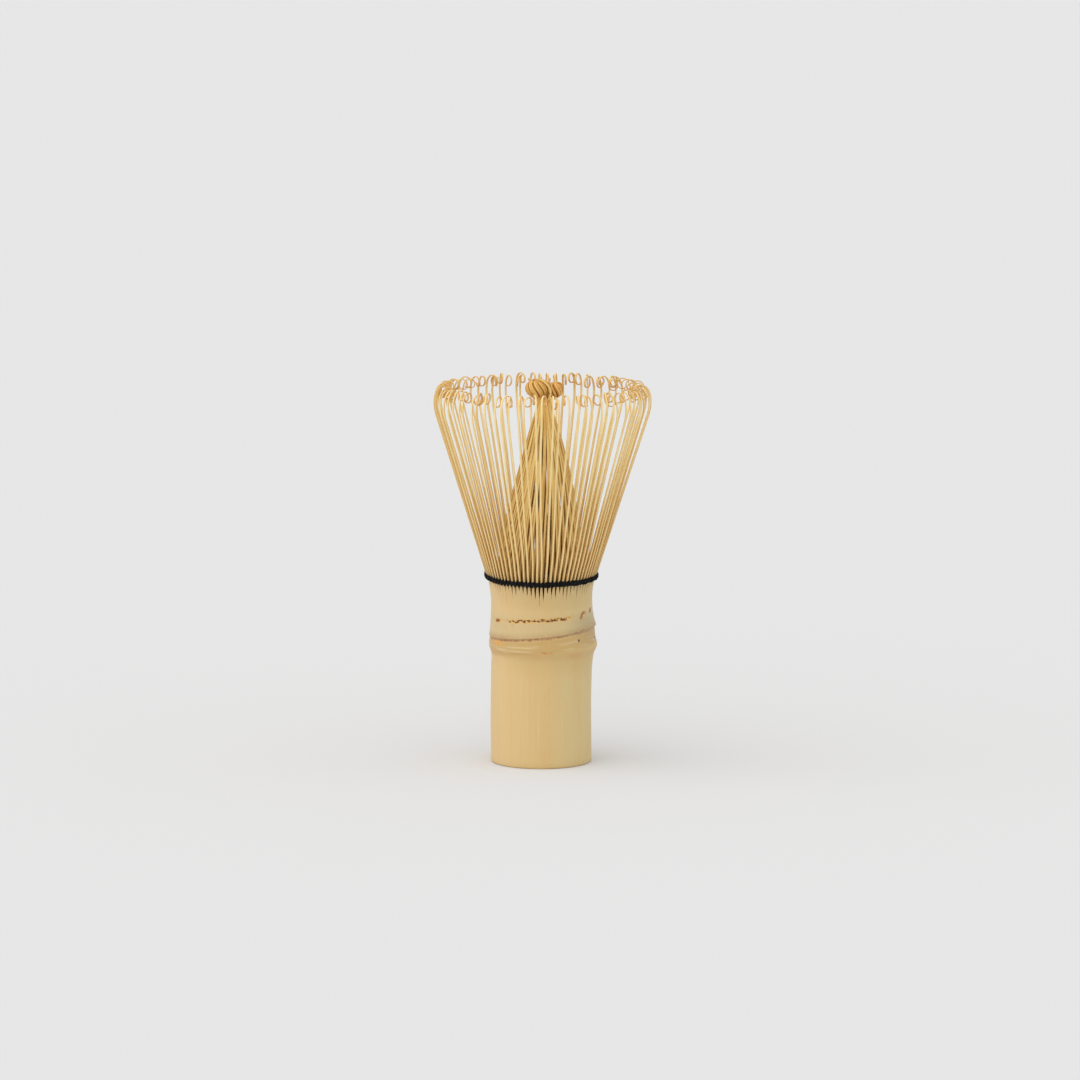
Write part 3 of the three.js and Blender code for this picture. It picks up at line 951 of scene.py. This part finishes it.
# The knot falls into two rolls of curled tips, a large one on the left and a small one on the right,
# and a few tips fill the gap between them. For each: its middle, the radius of its heart, the curls'
# half width and half height, and how far apart they spread for every degree between them in the tent.
KNOT_ROLLS = {
    "left": {"x": -1.15, "z": 108.3, "heart": 1.2, "wide": 2.2, "tall": 2.25, "spread": 1.52},
    "middle": {"x": 1.6, "z": 107.5, "heart": 0.25, "wide": 0.9, "tall": 1.6, "spread": 1.0},
    "right": {"x": 3.85, "z": 107.95, "heart": 0.8, "wide": 1.6, "tall": 1.95, "spread": 2.8},
}
KNOT_SWIRL = 0.9
# A curl in the knot starts and ends at these turns, in degrees, with a station at every step.
KNOT_TURN_START = -68
KNOT_TURN_END = (130, 215)
KNOT_TURN_STEP = 12
RIGHT_ROLL_SHARE = math.radians(64)
MIDDLE_ROLL_SHARE = math.radians(32)
# One tine stands in front of the gap between the rolls and bends over the top of the left one.
CROSSING_ANGLE = FRONT + math.radians(20)
CROSSING_ROUTE = [
    (2.1, -2.1, 105.3), (2.55, -2.75, 106.6), (2.65, -3.05, 107.9), (2.15, -3.1, 109.1), (1.1, -2.75, 110.2),
    (-0.2, -1.9, 110.9), (-1.4, -0.7, 111.05), (-2.3, 0.4, 110.7), (-2.8, 1.2, 109.9),
]


def tent_stem(angle, tine, rng):
    """A tine from its foot to the neck: its path, and the angle it stands at along it."""
    heights = STEM_HEIGHTS
    twist = math.radians(TENT_TWIST + np.clip(rng.normal(0, 2.7), -6, 6))
    radius = spline(TENT, heights) - NECK_DEPTH[tine] * ease(heights, 72, 104)
    radius += rng.normal(0, 0.14) * ease(heights, 58, 75) * (1 - ease(heights, 95, 104))
    around = angle + rng.normal(0, 0.1) * PITCH + twist * ease(heights, 49, 97)
    swing = math.radians(np.clip(rng.normal(0, 1.0), -2.2, 2.2))
    around += swing * np.sin(np.pi * np.clip((heights - 56) / 40, 0, 1))
    stem = direction(around) * radius[:, None]
    stem[:, 0] += TENT_LEAN * ease(heights, 56, 92)
    tilt = THREAD_TILT * INNER_ROOT_RADIUS * math.sin(angle) * (1 - ease(heights, 54, 75))
    stem[:, 2] = heights + tilt
    return stem, around


def knot_place(angle, tine):
    """Which roll of the knot a tine's tip joins, and which way it faces there."""
    off_right = angle_between(angle, RIGHT)
    if tine == 1 and abs(abs(off_right) - RIGHT_ROLL_SHARE) < MIDDLE_ROLL_SHARE:
        return "middle", RIGHT + off_right * KNOT_ROLLS["middle"]["spread"]
    if abs(off_right) < RIGHT_ROLL_SHARE:
        return "right", RIGHT + off_right * KNOT_ROLLS["right"]["spread"]
    return "left", math.pi + angle_between(angle, math.pi) * KNOT_ROLLS["left"]["spread"]


def knot_curl(angle, tine, rng):
    """A curled tip: its path, how it has turned, the ways it faces, and how much painted shade it takes deep
    in the knot.
    """
    roll_name, facing = knot_place(angle, tine)
    roll = KNOT_ROLLS[roll_name]
    in_middle = roll_name == "middle"
    facing += math.radians(rng.normal(0, 2.2))
    depth = 0 if in_middle else KNOT_DEPTH[tine] + rng.uniform(-0.12, 0.12)
    turn = np.radians(np.arange(KNOT_TURN_START, rng.uniform(*KNOT_TURN_END), KNOT_TURN_STEP))
    shrink = 1 - 0.25 * ease(turn, 0.6, 3.6)
    facings = facing - KNOT_SWIRL * ease(turn, -1.4, 1.7)
    wide = (roll["wide"] - depth) * rng.uniform(0.95, 1.04)
    tall = (roll["tall"] - depth) * rng.uniform(0.96, 1.03)
    curl = direction(facings) * (roll["heart"] + wide * shrink * np.cos(turn))[:, None]
    curl[:, 0] += roll["x"]
    curl[:, 2] = roll["z"] + tall * shrink * np.sin(turn) + rng.normal(0, 0.06)
    # Painted shade: curls deep in a roll, the bottoms of the rolls and the middle roll are darkened.
    painted_shade = np.clip(1.5 * depth, 0, 0.85) + 0.75 * (1 - ease(turn, -1.3, -0.3)) + 0.8 * in_middle
    return curl, turn, facing, facings, np.clip(painted_shade, 0, 1)


def inner_tine(surface, angle, tine, rng):
    """One inner tine: it leans in to the neck, and curls up and over into one roll of the knot."""
    own = rng.uniform()
    if abs(angle_between(angle, DARK_TINES)) < DARK_TINES_REACH:
        own = 0.9 + 0.1 * own
    stem, around = tent_stem(angle, tine, rng)
    curl, turn, facing, facings, painted_shade = knot_curl(angle, tine, rng)
    tip = 0.5 + 0.5 * ease(turn, -1.0, 2.0)
    tip = np.concatenate([0.4 * ease(STEM_HEIGHTS, 90, 104), tip])
    if abs(angle_between(angle, CROSSING_ANGLE)) < PITCH / 2:
        curl = smooth_route(CROSSING_ROUTE, len(turn))
        facing = FRONT
        facings = np.full(len(turn), FRONT)
        painted_shade = np.zeros(len(turn))
        tip *= 0.3

    # Near the neck the tine starts to turn towards the way that its curl faces.
    path = np.concatenate([stem, curl])
    nearly = angle_between(facing, around[-1])
    faces_to = np.concatenate([around, around[-1] + nearly - (facing - facings)])
    faces_to[:len(stem)] += nearly * ease(STEM_HEIGHTS, 98, NECK) * 0.6

    steps = np.linalg.norm(np.diff(path, axis=0), axis=1)
    part = np.concatenate([[0], np.cumsum(steps)]) / steps.sum()
    z = path[:, 2]
    painted_shade = np.concatenate([np.zeros(len(stem)), painted_shade])
    # The root value paints shade on the foot inside the tent and on the shaded parts of the curl; low paints
    # shade lower in the tent.
    strip(
        surface, path, direction(faces_to + math.pi / 2),
        spline(INNER_WIDTH, part) * rng.uniform(0.92, 1.12), spline(INNER_THICKNESS, part),
        own=own, tip=tip, root=np.maximum(1 - ease(z, THREAD_HEIGHT, THREAD_HEIGHT + 12), painted_shade),
        low=1 - 0.6 * ease(z, 60, 100),
    )


def tine_segments(ring, make_tine, turn, material):
    """Every segment of one ring: its tines as one piece that rises out of the thread."""
    for number in range(1, SEGMENTS + 1):
        surface = Surface()
        rng = np.random.default_rng([ord(ring[0]), number])
        for tine in range(TINES):
            offset = tine - (TINES - 1) / 2
            angle = (number - 1) * SEGMENT_ANGLE + offset * PITCH + turn
            make_tine(surface, angle, tine, rng)
        piece = surface.make(f"{ring}_tine_fan_{number:02d}", material)
        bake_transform(piece)
        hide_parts(f"{ring}_tines_{number:02d}")


# ---- Thread ----

STRAND_RADIUS = 15.5
# How far a strand weaves out and in, and up and down, on its way past the tines.
STRAND_REACH = 0.6
STRAND_RISE = 0.36
STRAND_HALF_WIDTH = 0.33
STRAND_HALF_HEIGHT = 0.61
STRAND_STEP = 0.13
STRAND_SEED = 5
# The twist of the plies is counted along this many times the length of the ring.
TWIST_LENGTH = 1.1
PLY_PITCH = 1.15
SECTION_SIDES = 14
# The tied knot: its size, the length its twist is counted along, and how far it is pulled in.
KNOT_SIZE = 0.3
KNOT_TWIST_LENGTH = 18
KNOT_STATIONS = 150
KNOT_TIGHT = 0.3


def cord_outline(along, half_width, half_height):
    """A two-ply cord's section along its length: an oval with two lobes that turn as the plies twist."""
    corner = np.linspace(0, 2 * math.pi, SECTION_SIDES, endpoint=False)
    twist = 2 * math.pi * along / PLY_PITCH
    lobes = 1 + 0.2 * np.cos(2 * (corner[None] - twist[:, None]))
    return np.stack([half_width * np.cos(corner) * lobes, half_height * np.sin(corner) * lobes], -1)


def strand(name, side, material):
    """A strand that passes outside one outer tine and inside the next, twined with its partner."""
    length = 2 * math.pi * STRAND_RADIUS * TWIST_LENGTH
    twists = round(length / PLY_PITCH)
    count = int(length / STRAND_STEP)
    angle = np.linspace(0, 2 * math.pi, count, endpoint=False)
    swing = np.cos(math.pi * angle / PITCH) * side
    flat = np.sign(swing) * np.abs(swing) ** 0.7
    rng = np.random.default_rng(STRAND_SEED)
    wave = 0.1 * np.sin(3 * angle + rng.uniform(0, 6)) + 0.06 * np.sin(8 * angle + rng.uniform(0, 6))
    rise = STRAND_RISE * np.sin(math.pi * angle / PITCH) * side
    radius = STRAND_RADIUS + STRAND_REACH * flat + rise * math.tan(OUTER_LEAN)
    path = direction(angle) * radius[:, None]
    path[:, 2] = THREAD_HEIGHT + THREAD_TILT * radius * np.sin(angle) + rise + wave
    ahead = unit(np.roll(path, -1, 0) - np.roll(path, 1, 0))
    upward = unit(np.array([0, 0, 1.0]) - ahead * ahead[:, 2:])
    outward = np.cross(ahead, upward)
    along = np.arange(count) * (twists * PLY_PITCH / count)
    outline = cord_outline(along, STRAND_HALF_WIDTH, STRAND_HALF_HEIGHT)
    surface = Surface()
    sweep(surface, path, outward, upward, outline, closed=True)
    piece = surface.make(f"twined_{name}", material)
    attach(piece, "root")
    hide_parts(name)


def thread_knot(material):
    """An overhand knot at the back, with the two short ends of the thread hanging from it."""
    bead_low, bead_high = box("thread_knot")
    middle = (bead_low + bead_high) / 2 + np.array([0, -KNOT_TIGHT, THREAD_TILT * STRAND_RADIUS])
    turn = np.linspace(math.radians(-160), math.radians(160), 17)
    knot = np.stack([
        KNOT_SIZE * (np.sin(turn) + 2 * np.sin(2 * turn)),
        -KNOT_SIZE * 0.9 * np.sin(3 * turn),
        KNOT_SIZE * (np.cos(turn) - 2 * np.cos(2 * turn)),
    ], 1)
    first, last = knot[0], knot[-1]
    tail_a = [first + np.array([-1.4, 0.3, -3.2]), first + np.array([-1.0, 0.35, -1.9])]
    tail_b = [last + np.array([0.8, 0.4, -1.5]), last + np.array([1.0, 0.3, -2.6])]
    path = smooth_route([*tail_a, *knot, *tail_b], KNOT_STATIONS) + middle
    ahead = unit(np.gradient(path, axis=0))
    side = unit(np.cross(ahead, (0.3, 1.0, 0.2)))
    other = np.cross(side, ahead)
    along = np.linspace(0, KNOT_TWIST_LENGTH, len(path))
    outline = cord_outline(along, STRAND_HALF_WIDTH, STRAND_HALF_WIDTH)
    fray = 1 + 0.35 * (ease(along, 1.0, 0.0) + ease(along, KNOT_TWIST_LENGTH - 1.0, KNOT_TWIST_LENGTH))
    surface = Surface()
    sweep(surface, path, side, -other, outline * fray[:, None, None])
    piece = surface.make("tied_thread_knot", material)
    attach(piece, "root")
    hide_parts("thread_knot")


# ---- Stage ----

BACKGROUND = 0.783
FLOOR_ALBEDO = 0.715
# In metres.
FLOOR_HALF_SIDE = 15.0
# A long lens stands well back, a little above the whisk, and looks slightly down on it.
CAMERA_PLACE = (-0.4, -1690, 304)
CAMERA_AIM = (-0.4, 0, 64.38)
CAMERA_LENS = 197.8
SENSOR_WIDTH = 36


def stage():
    """A plain pale floor that meets an evenly lit background, under soft studio light."""
    graph = Graph("studio_floor")
    tree = graph.tree
    diffuse = tree.nodes.new("ShaderNodeBsdfDiffuse")
    diffuse.inputs["Color"].default_value = (FLOOR_ALBEDO, FLOOR_ALBEDO, FLOOR_ALBEDO, 1)
    tree.links.new(diffuse.outputs[0], tree.nodes["Material Output"].inputs["Surface"])
    corners = [(x * FLOOR_HALF_SIDE, y * FLOOR_HALF_SIDE, 0) for x, y in ((-1, -1), (1, -1), (1, 1), (-1, 1))]
    mesh = bpy.data.meshes.new("floor")
    mesh.from_pydata(corners, [], [[0, 1, 2, 3]])
    mesh.materials.append(graph.material)
    floor = bpy.data.objects.new("floor", mesh)
    bpy.context.scene.collection.objects.link(floor)

    world = bpy.data.worlds.new("studio")
    world.use_nodes = True
    world.node_tree.nodes["Background"].inputs["Color"].default_value = (1, 1, 1, 1)
    world.node_tree.nodes["Background"].inputs["Strength"].default_value = BACKGROUND
    bpy.context.scene.world = world


def soft_light(name, azimuth, elevation, strength, spread):
    """A wide, distant light; azimuth 0 is in front of the whisk and 90 at its right."""
    lamp = bpy.data.lights.new(name, "SUN")
    lamp.energy = strength
    lamp.angle = math.radians(spread)
    light = bpy.data.objects.new(name, lamp)
    across = math.radians(azimuth)
    up = math.radians(elevation)
    back = Vector((math.sin(across) * math.cos(up), -math.cos(across) * math.cos(up), math.sin(up)))
    light.rotation_euler = back.to_track_quat("Z", "Y").to_euler()
    bpy.context.scene.collection.objects.link(light)


def camera():
    """The view of the whisk from the front."""
    data = bpy.data.cameras.new("camera")
    data.sensor_width = SENSOR_WIDTH
    data.lens = CAMERA_LENS
    view = bpy.data.objects.new("camera", data)
    view.location = Vector(CAMERA_PLACE) * MM
    aim = Vector(CAMERA_AIM) * MM
    view.rotation_euler = (aim - view.location).to_track_quat("-Z", "Y").to_euler()
    bpy.context.scene.collection.objects.link(view)
    bpy.context.scene.camera = view


# ---- The whole scene ----

camera()
stage()
soft_light("key", azimuth=-52, elevation=42, strength=1.25, spread=95)
soft_light("fill", azimuth=68, elevation=42, strength=0.3, spread=75)
bpy.context.scene.view_settings.view_transform = "Standard"

culm()
tine_segments(
    "outer",
    lambda surface, angle, tine, rng: outer_tine(surface, angle, rng),
    0.0,
    tine_material("outer_tine_bamboo", OUTER_PALE, OUTER_STRAW, shade_strength=0.18, ripe=0.55, seasoned=0.2),
)
tine_segments(
    "inner",
    inner_tine,
    PITCH / 2,
    tine_material("inner_tine_bamboo", INNER_SHADED_PALE, INNER_SHADED_STRAW, shade_strength=0.75, ripe=0.75, seasoned=0.75),
)
cotton = cotton_material()
strand("thread_strand_a", 1, cotton)
strand("thread_strand_b", -1, cotton)
thread_knot(cotton)
